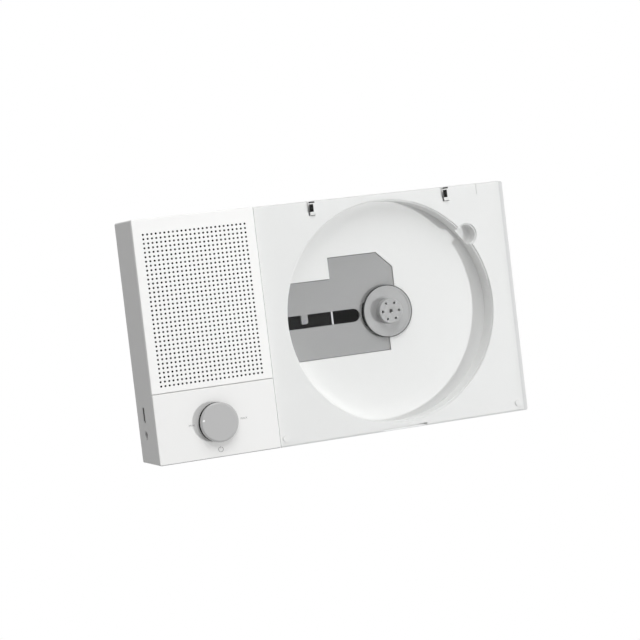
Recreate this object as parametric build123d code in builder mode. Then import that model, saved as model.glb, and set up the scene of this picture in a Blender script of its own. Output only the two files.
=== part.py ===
"""Wall mounted CD player: a speaker and volume block on the left, a lidded disc well on the right.

Sizes are in millimetres. The wall is the plane Y = 0, the front faces -Y, X runs to the right as seen
from the front and Z runs up. The origin is the centre of the wall bracket's screw pattern. A height in
this file is a distance from the wall, towards the front.
"""

import os
from math import acos, asin, cos, pi, radians, sin, tan

from build123d import *

os.makedirs("parts", exist_ok=True)

# ---------------------------------------------------------------- driving dimensions
# Casing
body_width = 230.0
body_height = 138.0
body_depth = 36.0
block_width = 72.0
corner_radius = 1.0
shell_wall = 2.0
shell_back = 2.2
back_edge_radius = 1.0
front_plate = 2.0
front_edge_radius = 0.5
panel_gap = 0.3
part_gap = 0.2

# Wall bracket and pads
pad_lift = 1.0
pad_radius = 6.0
pad_sink = 0.6
pad_inset = 20.0
bracket_width = 98.0
bracket_height = 50.0
bracket_thickness = 2.0
bracket_corner = 4.0
bracket_play = 1.0
bracket_front_gap = 0.8
bracket_floor = 1.6
screw_spacing_x = 80.0
screw_spacing_z = 30.0
screw_hole_radius = 2.25
hook_spacing = 50.0
hook_z = 10.0
hook_shank_radius = 2.0
hook_head_radius = 4.0
hook_head_height = 1.3
hook_play = 0.3
keyhole_drop = 10.0

# Case screws
case_screw_radius = 1.25
case_screw_head_radius = 2.5
case_screw_head_height = 1.0
case_screw_length = 10.0
tower_radius = 3.2
tower_inset = 8.0

# Speaker block
grille_hole_radius = 0.6
grille_skin = 0.8
grille_pitch = 2.5
grille_columns = 25
grille_rows = 35
grille_top_margin = 8.9
control_height = 40.0
baffle_thickness = 2.6
speaker_radius = 27.0
speaker_opening_radius = 23.5
speaker_magnet_radius = 17.0
speaker_magnet_height = 9.0
speaker_depth = 12.0
speaker_skin = 0.8
cone_lift = 4.0
surround_width = 4.0
surround_rise = 1.6
surround_skin = 0.4
dust_cap_radius = 7.5
dust_cap_rise = 2.4
dust_cap_skin = 0.4
speaker_screw_circle = 25.6
speaker_screw_radius = 0.8
speaker_screw_head = 1.12
speaker_screw_count = 4

# Volume knob with its push and turn encoder
knob_radius = 11.25
knob_height = 4.0
knob_gap = 0.8
knob_bevel_width = 1.0
knob_bevel_rise = 0.6
knob_skirt_height = 2.6
knob_skin = 1.2
knob_z = 20.0
pointer_radius = 0.65
pointer_offset = 9.4
pointer_angle = 12.0
pointer_depth = 0.6
encoder_size = 13.0
encoder_depth = 10.2
encoder_floor = 0.8
bushing_radius = 4.5
bushing_length = 4.0
shaft_radius = 3.0
running_gap = 0.05
nut_corner_radius = 6.6
nut_height = 1.2
plunger_radius = 1.5
plunger_length = 3.9
plunger_travel = 0.5
plunger_gap = 0.3
symbol_radius = 1.5
symbol_line = 0.35
symbol_z = 5.2
mark_length = 3.8
mark_height = 0.3
mark_offset = 15.0
mark_rise = 0.65
print_thickness = 0.05

# Side ports
port_height = 15.6
port_inset = 0.3
usb_z = 28.0
usb_width = 9.0
usb_thickness = 3.2
usb_depth = 7.4
usb_skin = 0.3
usb_tongue_width = 6.7
usb_tongue_thickness = 0.7
jack_z = 16.4
jack_bore_radius = 1.8
jack_nose_radius = 2.7
jack_length = 14.0
jack_body_size = 6.0

# Electronics
board_thickness = 1.6
board_top = 13.0
board_margin = 2.0
board_height = 58.0
board_post_radius = 2.4
battery_width = 46.0
battery_length = 70.0
battery_thickness = 8.0

# Disc deck, well and lid
lid_thickness = 2.0
lid_gap = 1.0
lid_side_gap = 0.3
lid_edge_radius = 0.3
deck_thickness = 2.0
deck_edge_radius = 0.8
well_radius = 64.7
well_depth = 11.0
well_wall = 1.6
well_floor = 1.6
well_rim_radius = 0.9
scoop_radius = 6.0
scoop_depth = 7.0
scoop_angle = 36.5
scoop_reach = 66.0
scoop_bottom_radius = 2.0
land_width = 126.0
land_height = 6.6
land_depth = 0.4
notch_width = 28.0
notch_height = 1.5
notch_depth = 5.0
bumper_radius = 2.0
bumper_inset = 4.5
bumper_sink = 0.8
bumper_clearance = 0.3

# Lid hinges
hinge_spacing = 85.0
hinge_slot_width = 4.2
hinge_slot_length = 8.6
hinge_axis_drop = 3.8
hinge_axis_back = 8.2
hinge_pin_radius = 1.0
hinge_barrel_radius = 2.4
hinge_arm_thickness = 1.5
hinge_foot_width = 3.3
hinge_side_gap = 0.3
hinge_foot_thickness = 0.8
hinge_foot_length = 7.2
hinge_heel_length = 6.0
hinge_heel_height = 2.4
lid_top_gap = 0.4
cheek_thickness = 0.8
cheek_radius = 1.6
bracket_flange = 4.0
bracket_base_z = 56.5
bracket_screw_z = 58.2
bracket_screw_radius = 0.8
bracket_screw_head = 1.5
sensor_height = 5.0
sensor_width = 4.0
magnet_radius = 0.9
magnet_drop = 4.6
spring_wire_radius = 0.25
spring_turns = 3

# Disc drive
plate_thickness = 0.8
plate_sink = 0.6
plate_gap = 0.3
plate_left = -68.3
plate_low_right = 0.9
plate_bottom = -22.7
plate_shelf = 22.6
plate_step = -32.1
plate_top = 35.0
plate_top_right = -1.7
plate_right = 7.7
plate_chamfer_end = 25.7
plate_notch_z = -9.0
slot_half_height = 3.9
slot_left = -65.0
slot_right = -15.9
motor_window_radius = 14.0
motor_window_reach = 15.9
motor_window_low = -7.4
motor_window_high = 6.6
spindle_shift = 1.2
flange_radius = 15.0
flange_thickness = 1.1
flange_top_rise = 1.4
flange_ring_width = 0.5
flange_lip_width = 1.2
flange_lip_height = 0.2
hub_radius = 7.35
hub_height = 5.0
hub_chamfer = 0.3
hub_hole_radius = 0.75
hub_hole_circle = 5.2
hub_hole_count = 6
hub_hole_depth = 3.0
turntable_boss_radius = 3.2
turntable_boss_length = 4.8
spindle_radius = 1.0
spindle_recess = 3.4
spindle_mouth_radius = 1.2
motor_radius = 11.0
motor_height = 9.0
motor_boss_radius = 3.8
motor_boss_height = 1.0
chassis_height = 15.6
chassis_thickness = 1.8
chassis_left = -73.0
chassis_right = 17.0
chassis_bottom = -40.0
chassis_top = 36.0
window_left = -69.5
window_right = -12.0
window_half_height = 19.0
cover_post_radius = 1.5
rod_height = 12.5
rod_spread = 15.0
rod_radius = 1.5
rod_left = -72.5
rod_right = 3.0
lug_width = 2.4
lug_size = 6.0
lens_rest = -51.8
sled_half_length = 10.0
sled_half_width = 18.5
sled_bottom = 9.5
sled_top = 19.6
tongue_reach = 19.9
tongue_half_width = 5.6
tongue_thickness = 1.2
shield_thickness = 1.0
shield_rise = 0.6
lens_shift = 1.75
lens_block_length = 4.0
lens_block_width = 6.6
lens_block_shift = 1.8
lens_block_height = 1.6
lens_radius = 1.2
lens_rise = 0.5
damper_ear_radius = 3.2
damper_flange_radius = 4.5
damper_flange_height = 1.6
damper_bore_radius = 1.6
damper_screw_radius = 1.5
damper_screw_head = 3.2
damper_screw_head_height = 1.2
damper_boss_radius = 3.2
damper_xs = (-68.0, 12.0)
damper_zs = (-35.0, 31.0)
damper_screw_length = 12.0

# Gear train of the sled
gear_module = 0.6
pressure_angle = 20.0
gear_slack = 0.12
tooth_rise_share = 0.8
tooth_root_share = 1.1
pinion_teeth = 16
wheel_teeth = 28
motor_teeth = 12
pinion_x = -32.5
rack_pitch_z = -23.0
rack_left = -12.0
rack_right = 28.0
pinion_bottom = 10.5
pinion_width = 2.7
wheel_bottom = 13.6
wheel_width = 1.5
axle_radius = 1.0
train_angle = -20.0
sled_motor_radius = 6.0
sled_motor_height = 7.4
motor_plate_thickness = 1.0
motor_post_radius = 1.4
motor_post_circle = 6.2
motor_post_angles = (60.0, -60.0, -120.0)
motor_screw_radius = 0.8
motor_screw_circle = 8.0

# ---------------------------------------------------------------- derived places
half_width = body_width / 2
half_height = body_height / 2
back_face = pad_lift
back_inner = back_face + shell_back
front_face = back_face + body_depth
plate_back = front_face - front_plate
lid_back = front_face - lid_thickness
deck_top = lid_back - lid_gap
deck_back = deck_top - deck_thickness
floor_top = deck_top - well_depth
floor_back = floor_top - well_floor
cover_top = floor_top - plate_sink
cover_back = cover_top - plate_thickness
chassis_front = chassis_height + chassis_thickness

block_right = block_width - half_width
block_x = block_width / 2 - half_width
deck_left = block_right + part_gap
deck_x = (block_right + half_width) / 2
well_x = deck_x
spindle_x = well_x + spindle_shift
notch_span = (well_x - notch_width / 2, well_x + notch_width / 2)
control_top = control_height - half_height - panel_gap / 2
grille_bottom = control_height - half_height + panel_gap / 2
grille_z = half_height - grille_top_margin - grille_pitch * (grille_rows - 1) / 2
knob_centre = (block_x, knob_z - half_height)
hinge_z = half_height - hinge_axis_drop
hinge_height = lid_back - hinge_axis_back
hinge_xs = (deck_x - hinge_spacing / 2, deck_x + hinge_spacing / 2)

bay_height = body_height - 2 * shell_wall
left_bay = (shell_wall - half_width, block_right - shell_wall)
right_bay = (block_right, half_width - shell_wall)
left_towers = [
    (x, z)
    for x in (left_bay[0] + tower_inset - shell_wall, left_bay[1] - tower_inset + shell_wall)
    for z in (half_height - tower_inset, -half_height + tower_inset)
]
right_towers = [
    (x, z)
    for x in (right_bay[0] + tower_inset, half_width - tower_inset)
    for z in (half_height - 2 * tower_inset, -half_height + tower_inset)
]


def at_height(height):
    """Plane parallel to the wall whose sketches use the body's X and Z, and extrude towards the front."""
    return Plane.XZ.offset(height)


def turning_plane(x, z):
    """Plane through an axis square to the wall: the first coordinate is a radius, the second a height."""
    return Plane(origin=(x, 0, z), x_dir=(1, 0, 0), z_dir=(0, 0, -1))


def turning_axis(x, z):
    """The axis square to the wall at X and Z."""
    return Axis((x, 0, z), (0, -1, 0))


def rectangle_span(low_x, high_x, low_z, high_z, mode=Mode.ADD):
    """Rectangle between two corners, drawn in the open sketch."""
    with Locations(((low_x + high_x) / 2, (low_z + high_z) / 2)):
        Rectangle(high_x - low_x, high_z - low_z, mode=mode)


def dome_points(radius, rise, height):
    """Top, middle and rim of a round dome about the axis of a turning plane."""
    sphere = (radius**2 + rise**2) / (2 * rise)
    half_turn = asin(radius / sphere) / 2
    middle = (sphere * sin(half_turn), height + rise - sphere * (1 - cos(half_turn)))
    return [(0, height + rise), middle, (radius, height)]


# ---------------------------------------------------------------- casing
pad_places = [
    (x * (half_width - pad_inset), z * (half_height - pad_inset)) for x in (-1, 1) for z in (-1, 1)
]
recess_width = bracket_width + 2 * bracket_play
recess_length = bracket_height + 2 * bracket_play
recess_floor = bracket_thickness + bracket_front_gap
recess_inner = recess_floor + bracket_floor
hook_places = [(-hook_spacing / 2, hook_z), (hook_spacing / 2, hook_z)]
board_span = (left_bay[0] + board_margin, left_bay[1] - board_margin)
board_bottom = -half_height + shell_wall + board_margin
board_posts = [
    (x, z)
    for x in (board_span[0] + tower_inset + tower_radius, board_span[1] - tower_inset - tower_radius)
    for z in (board_bottom + board_margin + 2, board_bottom + board_height - board_margin - 2)
]
damper_places = [(well_x + x, z) for x in damper_xs for z in damper_zs]
damper_seat = chassis_height - damper_flange_height
damper_top = chassis_front + damper_flange_height

with BuildPart() as rear_shell:
    with BuildSketch(at_height(back_face)):
        RectangleRounded(body_width, body_height, corner_radius)
    extrude(amount=plate_back - back_face)
    fillet(rear_shell.faces().sort_by(Axis.Y)[-1].edges(), back_edge_radius)
    # two bays with the partition of the speaker block between them
    with BuildSketch(at_height(back_inner)):
        rectangle_span(*left_bay, -bay_height / 2, bay_height / 2)
        rectangle_span(*right_bay, -bay_height / 2, bay_height / 2)
    extrude(amount=body_depth, mode=Mode.SUBTRACT)
    # the rim of the right bay is lower and carries the deck
    with BuildSketch(at_height(deck_back)):
        rectangle_span(block_right, body_width, -body_height, body_height)
    extrude(amount=body_depth, mode=Mode.SUBTRACT)
    # thicker back around the bracket recess, with the two keyholes
    with BuildSketch(at_height(back_inner)):
        Rectangle(recess_width + 2 * shell_wall, recess_length + 2 * shell_wall)
    extrude(amount=recess_inner - back_inner)
    with BuildSketch(at_height(back_face)):
        RectangleRounded(recess_width, recess_length, bracket_corner)
    extrude(amount=recess_floor - back_face, mode=Mode.SUBTRACT)
    with BuildSketch(at_height(recess_floor)):
        for x, z in hook_places:
            with Locations((x, z)):
                Circle(hook_shank_radius + hook_play)
            with Locations((x, z - keyhole_drop)):
                Circle(hook_head_radius + hook_play)
            rectangle_span(
                x - hook_shank_radius - hook_play, x + hook_shank_radius + hook_play, z - keyhole_drop, z
            )
    extrude(amount=bracket_floor, mode=Mode.SUBTRACT)
    # posts of the main board
    with BuildSketch(at_height(back_inner)):
        with Locations(*board_posts):
            Circle(board_post_radius)
    extrude(amount=board_top - board_thickness - back_inner)
    # bosses under the dampers of the drive
    with BuildSketch(at_height(back_inner)):
        with Locations(*damper_places):
            Circle(damper_boss_radius)
    extrude(amount=damper_seat - back_inner)
    with BuildSketch(at_height(damper_top - damper_screw_length)):
        with Locations(*damper_places):
            Circle(damper_screw_radius)
    extrude(amount=damper_screw_length, mode=Mode.SUBTRACT)
    # pockets of the rubber pads and holes of the case screws
    with BuildSketch(at_height(back_face)):
        with Locations(*pad_places):
            Circle(pad_radius)
    extrude(amount=pad_sink, mode=Mode.SUBTRACT)
    with BuildSketch(at_height(back_face)):
        with Locations(*left_towers, *right_towers):
            Circle(case_screw_radius + running_gap)
    extrude(amount=shell_back, mode=Mode.SUBTRACT)
    with BuildSketch(at_height(back_face)):
        with Locations(*left_towers, *right_towers):
            Circle(case_screw_head_radius + part_gap)
    extrude(amount=case_screw_head_height + part_gap, mode=Mode.SUBTRACT)
    # ports in the left side
    with BuildSketch(Plane.YZ.offset(-half_width)):
        with Locations((-port_height, usb_z - half_height)):
            SlotOverall(usb_width + 2 * part_gap, usb_thickness + 2 * part_gap, rotation=90)
        with Locations((-port_height, jack_z - half_height)):
            Circle(jack_nose_radius + running_gap)
    extrude(amount=shell_wall, mode=Mode.SUBTRACT)
    # notches in the top side that the hinge arms swing through
    with BuildSketch(at_height(hinge_height - hinge_barrel_radius - bumper_clearance)):
        for x in hinge_xs:
            rectangle_span(
                x - hinge_slot_width / 2, x + hinge_slot_width / 2, half_height - shell_wall, half_height
            )
    extrude(amount=body_depth, mode=Mode.SUBTRACT)
    # finger notch in the bottom side
    with BuildSketch(at_height(deck_top - notch_depth)):
        rectangle_span(*notch_span, -half_height, notch_height - half_height)
    extrude(amount=body_depth, mode=Mode.SUBTRACT)

with BuildPart() as wall_bracket:
    with BuildSketch(at_height(0)):
        RectangleRounded(bracket_width, bracket_height, bracket_corner)
        with GridLocations(screw_spacing_x, screw_spacing_z, 2, 2):
            Circle(screw_hole_radius, mode=Mode.SUBTRACT)
        with Locations(*hook_places):
            Circle(hook_shank_radius, mode=Mode.SUBTRACT)
    extrude(amount=bracket_thickness)
    countersunk = wall_bracket.faces().sort_by(Axis.Y)[0].edges().filter_by(GeomType.CIRCLE)
    rims = [edge for edge in countersunk if abs(edge.radius - screw_hole_radius) < part_gap]
    chamfer(rims, bracket_thickness / 2)

with BuildPart() as bracket_hooks:
    with BuildSketch(at_height(0)):
        with Locations(*hook_places):
            Circle(hook_shank_radius)
    extrude(amount=recess_inner + hook_play)
    with BuildSketch(at_height(recess_inner + hook_play)):
        with Locations(*hook_places):
            Circle(hook_head_radius)
    extrude(amount=hook_head_height)

with BuildPart() as wall_pads:
    with BuildSketch(at_height(0)):
        with Locations(*pad_places):
            Circle(pad_radius)
    extrude(amount=pad_lift + pad_sink)

with BuildPart() as case_screws:
    with BuildSketch(at_height(back_face + part_gap)):
        with Locations(*left_towers, *right_towers):
            Circle(case_screw_head_radius)
    extrude(amount=case_screw_head_height)
    with BuildSketch(at_height(back_face + part_gap)):
        with Locations(*left_towers, *right_towers):
            Circle(case_screw_radius)
    extrude(amount=case_screw_length)

# ---------------------------------------------------------------- speaker block
baffle_back = plate_back - baffle_thickness

with BuildPart() as speaker_grille:
    with BuildSketch(at_height(plate_back)):
        rectangle_span(-half_width, block_right, grille_bottom, half_height)
    extrude(amount=front_plate)
    outer = speaker_grille.edges().filter_by(Axis.Y)
    fillet(outer.group_by(Axis.Z)[-1], corner_radius)
    fillet(speaker_grille.faces().sort_by(Axis.Y)[0].edges(), front_edge_radius)
    # thinner sheet where the holes are
    with BuildSketch(at_height(plate_back)):
        with Locations((block_x, grille_z)):
            Rectangle(grille_columns * grille_pitch, grille_rows * grille_pitch)
    extrude(amount=front_plate - grille_skin, mode=Mode.SUBTRACT)
    with BuildSketch(at_height(plate_back)):
        with Locations((block_x, grille_z)):
            with GridLocations(grille_pitch, grille_pitch, grille_columns, grille_rows):
                Circle(grille_hole_radius)
    extrude(amount=front_plate, mode=Mode.SUBTRACT)

with BuildPart() as control_panel:
    with BuildSketch(at_height(plate_back)):
        rectangle_span(-half_width, block_right, -half_height, control_top)
    extrude(amount=front_plate)
    outer = control_panel.edges().filter_by(Axis.Y)
    fillet(outer.group_by(Axis.Z)[0], corner_radius)
    fillet(control_panel.faces().sort_by(Axis.Y)[0].edges(), front_edge_radius)
    with BuildSketch(at_height(plate_back)):
        with Locations(knob_centre):
            Circle(bushing_radius + part_gap)
    extrude(amount=front_plate, mode=Mode.SUBTRACT)
    with BuildSketch(at_height(plate_back)):
        with Locations(knob_centre):
            Circle(nut_corner_radius + part_gap)
    extrude(amount=nut_height + running_gap, mode=Mode.SUBTRACT)

with BuildPart() as front_baffle:
    with BuildSketch(at_height(baffle_back)):
        rectangle_span(
            left_bay[0] + part_gap,
            left_bay[1] - part_gap,
            part_gap - bay_height / 2,
            bay_height / 2 - part_gap,
        )
        with Locations((block_x, grille_z)):
            Circle(speaker_opening_radius, mode=Mode.SUBTRACT)
        with Locations(knob_centre):
            Circle(bushing_radius, mode=Mode.SUBTRACT)
    extrude(amount=baffle_thickness)
    with BuildSketch(at_height(back_inner)):
        with Locations(*left_towers):
            Circle(tower_radius)
    extrude(amount=baffle_back - back_inner)
    with BuildSketch(at_height(back_inner)):
        with Locations(*left_towers):
            Circle(case_screw_radius)
    extrude(amount=case_screw_length, mode=Mode.SUBTRACT)

magnet_front = baffle_back - speaker_depth
cone_edge = baffle_back - speaker_skin

with BuildPart() as speaker_frame:
    with BuildSketch(turning_plane(block_x, grille_z)):
        with BuildLine():
            Polyline(
                (speaker_radius, baffle_back),
                (speaker_opening_radius, baffle_back),
                (speaker_opening_radius, cone_edge),
                (speaker_opening_radius - 2 * speaker_skin, cone_edge),
                (speaker_magnet_radius - speaker_skin, magnet_front + speaker_skin),
                (dust_cap_radius, magnet_front + speaker_skin),
                (dust_cap_radius, magnet_front),
                (speaker_magnet_radius, magnet_front),
                (speaker_opening_radius - speaker_skin, cone_edge - speaker_skin),
                (speaker_opening_radius + speaker_skin, cone_edge - speaker_skin),
                (speaker_opening_radius + speaker_skin, cone_edge),
                (speaker_radius, cone_edge),
                close=True,
            )
        make_face()
    revolve(axis=turning_axis(block_x, grille_z))
    # four windows in the basket
    with BuildSketch(at_height(magnet_front)):
        with Locations((block_x, grille_z)):
            with PolarLocations(speaker_magnet_radius + 2 * speaker_skin, 4, start_angle=45):
                SlotOverall(3 * dust_cap_radius / 2, 2 * speaker_skin, rotation=90)
    extrude(amount=speaker_depth - 2 * speaker_skin, mode=Mode.SUBTRACT)
    with BuildSketch(at_height(baffle_back - speaker_skin)):
        with Locations((block_x, grille_z)):
            with PolarLocations(speaker_screw_circle, speaker_screw_count, start_angle=45):
                Circle(speaker_screw_radius)
    extrude(amount=speaker_skin, mode=Mode.SUBTRACT)

with BuildPart() as speaker_magnet:
    with BuildSketch(turning_plane(block_x, grille_z)):
        rectangle_span(
            0, speaker_magnet_radius - speaker_skin, magnet_front - speaker_magnet_height, magnet_front
        )
    revolve(axis=turning_axis(block_x, grille_z))
    chamfer(speaker_magnet.faces().sort_by(Axis.Y)[-1].edges(), speaker_skin)

surround_inner = speaker_opening_radius - surround_width
surround_middle = surround_inner + surround_width / 2
cone_back = magnet_front + cone_lift

with BuildPart() as speaker_surround:
    with BuildSketch(turning_plane(block_x, grille_z)):
        with BuildLine():
            roll = ThreePointArc(
                (surround_inner, cone_edge),
                (surround_middle, cone_edge + surround_rise),
                (speaker_opening_radius, cone_edge),
            )
            Line(roll @ 1, (speaker_opening_radius - speaker_skin / 2, cone_edge))
            under = ThreePointArc(
                (speaker_opening_radius - speaker_skin / 2, cone_edge),
                (surround_middle, cone_edge + surround_rise - surround_skin),
                (surround_inner + speaker_skin / 2, cone_edge),
            )
            Line(under @ 1, roll @ 0)
        make_face()
    revolve(axis=turning_axis(block_x, grille_z))

with BuildPart() as speaker_cone:
    with BuildSketch(turning_plane(block_x, grille_z)):
        with BuildLine():
            Polyline(
                (surround_inner + speaker_skin / 2, cone_edge),
                (dust_cap_radius, cone_back),
                (dust_cap_radius - speaker_skin / 2, cone_back),
                (dust_cap_radius - speaker_skin / 2, cone_back - speaker_skin),
                (dust_cap_radius, cone_back - speaker_skin),
                (surround_inner + speaker_skin / 2, cone_edge - speaker_skin),
                close=True,
            )
        make_face()
    revolve(axis=turning_axis(block_x, grille_z))

with BuildPart() as dust_cap:
    with BuildSketch(turning_plane(block_x, grille_z)):
        with BuildLine():
            dome = ThreePointArc(*dome_points(dust_cap_radius, dust_cap_rise, cone_back))
            Line(dome @ 1, (dust_cap_radius - dust_cap_skin, cone_back))
            inner = (dust_cap_radius - dust_cap_skin, dust_cap_rise - dust_cap_skin)
            hollow = ThreePointArc(*reversed(dome_points(*inner, cone_back)))
            Line(hollow @ 1, dome @ 0)
        make_face()
    revolve(axis=turning_axis(block_x, grille_z))

with BuildPart() as voice_coil:
    with BuildSketch(turning_plane(block_x, grille_z)):
        rectangle_span(
            dust_cap_radius - speaker_skin, dust_cap_radius - speaker_skin / 2, magnet_front, cone_back
        )
    revolve(axis=turning_axis(block_x, grille_z))

with BuildPart() as speaker_screws:
    with BuildSketch(at_height(baffle_back - speaker_skin)):
        with Locations((block_x, grille_z)):
            with PolarLocations(speaker_screw_circle, speaker_screw_count, start_angle=45):
                Circle(speaker_screw_radius)
    extrude(amount=speaker_skin)
    with BuildSketch(at_height(baffle_back - 2 * speaker_skin)):
        with Locations((block_x, grille_z)):
            with PolarLocations(speaker_screw_circle, speaker_screw_count, start_angle=45):
                Circle(speaker_screw_head)
    extrude(amount=speaker_skin)

# ---------------------------------------------------------------- volume knob and encoder
knob_back = front_face + knob_gap
knob_front = knob_back + knob_height
plunger_back = baffle_back - encoder_depth + encoder_floor + plunger_travel + part_gap
plunger_front = plunger_back + plunger_length
shaft_end = plunger_front + plunger_gap
shaft_front = knob_front - knob_skin
skirt_front = knob_back + knob_skirt_height
pointer_place = (
    knob_centre[0] - pointer_offset * cos(radians(pointer_angle)),
    knob_centre[1] + pointer_offset * sin(radians(pointer_angle)),
)

# cap with a bevelled edge and the socket of the shaft
with BuildPart() as volume_knob:
    with BuildSketch(turning_plane(*knob_centre)):
        with BuildLine():
            Polyline(
                (0, knob_back),
                (shaft_radius + knob_skin, knob_back),
                (shaft_radius + knob_skin, skirt_front),
                (knob_radius, skirt_front),
                (knob_radius, knob_front - knob_bevel_rise),
                (knob_radius - knob_bevel_width, knob_front),
                (0, knob_front),
                close=True,
            )
        make_face()
    revolve(axis=turning_axis(*knob_centre))
    with BuildSketch(at_height(knob_back)):
        with Locations(knob_centre):
            Circle(shaft_radius)
    extrude(amount=shaft_front - knob_back, mode=Mode.SUBTRACT)
    with BuildSketch(at_height(knob_front - pointer_depth)):
        with Locations(pointer_place):
            Circle(pointer_radius)
    extrude(amount=pointer_depth, mode=Mode.SUBTRACT)

with BuildPart() as knob_skirt:
    with BuildSketch(at_height(knob_back)):
        with Locations(knob_centre):
            Circle(knob_radius)
            Circle(knob_radius - knob_skin, mode=Mode.SUBTRACT)
    extrude(amount=knob_skirt_height)

with BuildPart() as knob_pointer:
    with BuildSketch(at_height(knob_front - pointer_depth)):
        with Locations(pointer_place):
            Circle(pointer_radius)
    extrude(amount=pointer_depth)

with BuildPart() as knob_shaft:
    with BuildSketch(at_height(shaft_end)):
        with Locations(knob_centre):
            Circle(shaft_radius)
    extrude(amount=shaft_front - shaft_end)

with BuildPart() as encoder_body:
    with BuildSketch(at_height(baffle_back - encoder_depth)):
        with Locations(knob_centre):
            RectangleRounded(encoder_size, encoder_size, corner_radius)
    extrude(amount=encoder_depth)
    with BuildSketch(at_height(baffle_back)):
        with Locations(knob_centre):
            Circle(bushing_radius)
    extrude(amount=bushing_length)
    with BuildSketch(at_height(shaft_end - plunger_travel - part_gap)):
        with Locations(knob_centre):
            Circle(shaft_radius + running_gap)
    extrude(amount=body_depth, mode=Mode.SUBTRACT)
    with BuildSketch(at_height(plunger_back - plunger_travel - part_gap)):
        with Locations(knob_centre):
            Circle(plunger_radius + running_gap)
    extrude(amount=body_depth, mode=Mode.SUBTRACT)

with BuildPart() as switch_plunger:
    with BuildSketch(at_height(plunger_back)):
        with Locations(knob_centre):
            Circle(plunger_radius)
    extrude(amount=plunger_length)

with BuildPart() as encoder_nut:
    with BuildSketch(at_height(plate_back)):
        with Locations(knob_centre):
            RegularPolygon(nut_corner_radius, 6)
            Circle(bushing_radius, mode=Mode.SUBTRACT)
    extrude(amount=nut_height)

with BuildPart() as panel_marks:
    # power ring with its stroke, and a tick at each end of the knob's turn
    with BuildSketch(at_height(front_face)):
        with Locations((block_x, symbol_z - half_height)):
            Circle(symbol_radius)
            Circle(symbol_radius - symbol_line, mode=Mode.SUBTRACT)
        with Locations((block_x, symbol_z - half_height + symbol_radius)):
            Rectangle(3 * symbol_line, 2 * symbol_radius - symbol_line, mode=Mode.SUBTRACT)
            Rectangle(symbol_line, symbol_radius)
        for side in (-1, 1):
            with Locations((block_x + side * mark_offset, knob_centre[1] + mark_rise)):
                Rectangle(mark_length, mark_height)
    extrude(amount=print_thickness)

# ---------------------------------------------------------------- side ports and electronics
board_back = board_top - board_thickness
usb_places = (-port_height, usb_z - half_height)
jack_places = (-port_height, jack_z - half_height)

with BuildPart() as usb_socket:
    with BuildSketch(Plane.YZ.offset(port_inset - half_width)):
        with Locations(usb_places):
            SlotOverall(usb_width, usb_thickness, rotation=90)
    extrude(amount=usb_depth)
    with BuildSketch(Plane.YZ.offset(port_inset - half_width)):
        with Locations(usb_places):
            SlotOverall(usb_width - 2 * usb_skin, usb_thickness - 2 * usb_skin, rotation=90)
            Rectangle(usb_tongue_thickness, usb_tongue_width, mode=Mode.SUBTRACT)
    extrude(amount=usb_depth - usb_skin, mode=Mode.SUBTRACT)
    # seat on the board, behind the casing's wall
    with BuildSketch(at_height(board_top)):
        rectangle_span(
            board_span[0],
            port_inset + usb_depth - half_width,
            usb_places[1] - usb_tongue_width / 2,
            usb_places[1] + usb_tongue_width / 2,
        )
    extrude(amount=port_height - usb_thickness / 2 + usb_skin / 2 - board_top)

with BuildPart() as jack_socket:
    with BuildSketch(Plane.YZ.offset(port_inset - half_width)):
        with Locations(jack_places):
            Circle(jack_nose_radius)
    extrude(amount=shell_wall + part_gap)
    with BuildSketch(Plane.YZ.offset(left_bay[0] + part_gap)):
        with Locations((-port_height - jack_body_size / 2 + port_height - board_top, jack_places[1])):
            Rectangle(jack_body_size, jack_body_size)
    extrude(amount=jack_length - shell_wall)
    with BuildSketch(Plane.YZ.offset(port_inset - half_width)):
        with Locations(jack_places):
            Circle(jack_bore_radius)
    extrude(amount=jack_length - jack_bore_radius, mode=Mode.SUBTRACT)

with BuildPart() as main_board:
    with BuildSketch(at_height(board_back)):
        rectangle_span(*board_span, board_bottom, board_bottom + board_height)
        with Locations(*left_towers):
            Circle(tower_radius + 2 * part_gap, mode=Mode.SUBTRACT)
    extrude(amount=board_thickness)

# left, right, bottom and top of each block as shares of the board's width and height, and its rise
chip_spans = [
    (-0.06, 0.16, 0.62, 0.8, 1.2),
    (0.2, 0.4, 0.3, 0.52, 1.6),
    (-0.3, -0.16, 0.66, 0.86, 3.0),
    (0.05, 0.14, 0.3, 0.44, 4.0),
]
board_width = board_span[1] - board_span[0]

with BuildPart() as board_chips:
    for low_x, high_x, low_z, high_z, rise in chip_spans:
        with BuildSketch(at_height(board_top)):
            rectangle_span(
                block_x + low_x * board_width,
                block_x + high_x * board_width,
                board_bottom + low_z * board_height,
                board_bottom + high_z * board_height,
            )
        extrude(amount=rise)

with BuildPart() as battery_pack:
    with BuildSketch(at_height(back_inner)):
        with Locations((right_bay[1] - battery_width / 2 - 2 * shell_wall, 0)):
            RectangleRounded(battery_width, battery_length, 2 * corner_radius)
    extrude(amount=battery_thickness)
    fillet(battery_pack.faces().sort_by(Axis.Y)[0].edges(), corner_radius)

# ---------------------------------------------------------------- disc deck
scoop_x = well_x + scoop_reach * cos(radians(scoop_angle))
scoop_z = scoop_reach * sin(radians(scoop_angle))
scoop_floor = deck_top - scoop_depth
bumper_places = [
    (x, bumper_inset - half_height) for x in (deck_left + bumper_inset, half_width - bumper_inset)
]
hinge_screw_places = [
    (x + side * (hinge_slot_width + bracket_flange + cheek_thickness) / 2, bracket_screw_z)
    for x in hinge_xs
    for side in (-1, 1)
]
cover_outline = [
    (well_x + plate_left, plate_bottom),
    (well_x + plate_low_right, plate_bottom),
    (well_x + plate_low_right, plate_notch_z),
    (well_x + plate_right, plate_notch_z),
    (well_x + plate_right, plate_chamfer_end),
    (well_x + plate_top_right, plate_top),
    (well_x + plate_step, plate_top),
    (well_x + plate_step, plate_shelf),
    (well_x + plate_left, plate_shelf),
]

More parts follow.
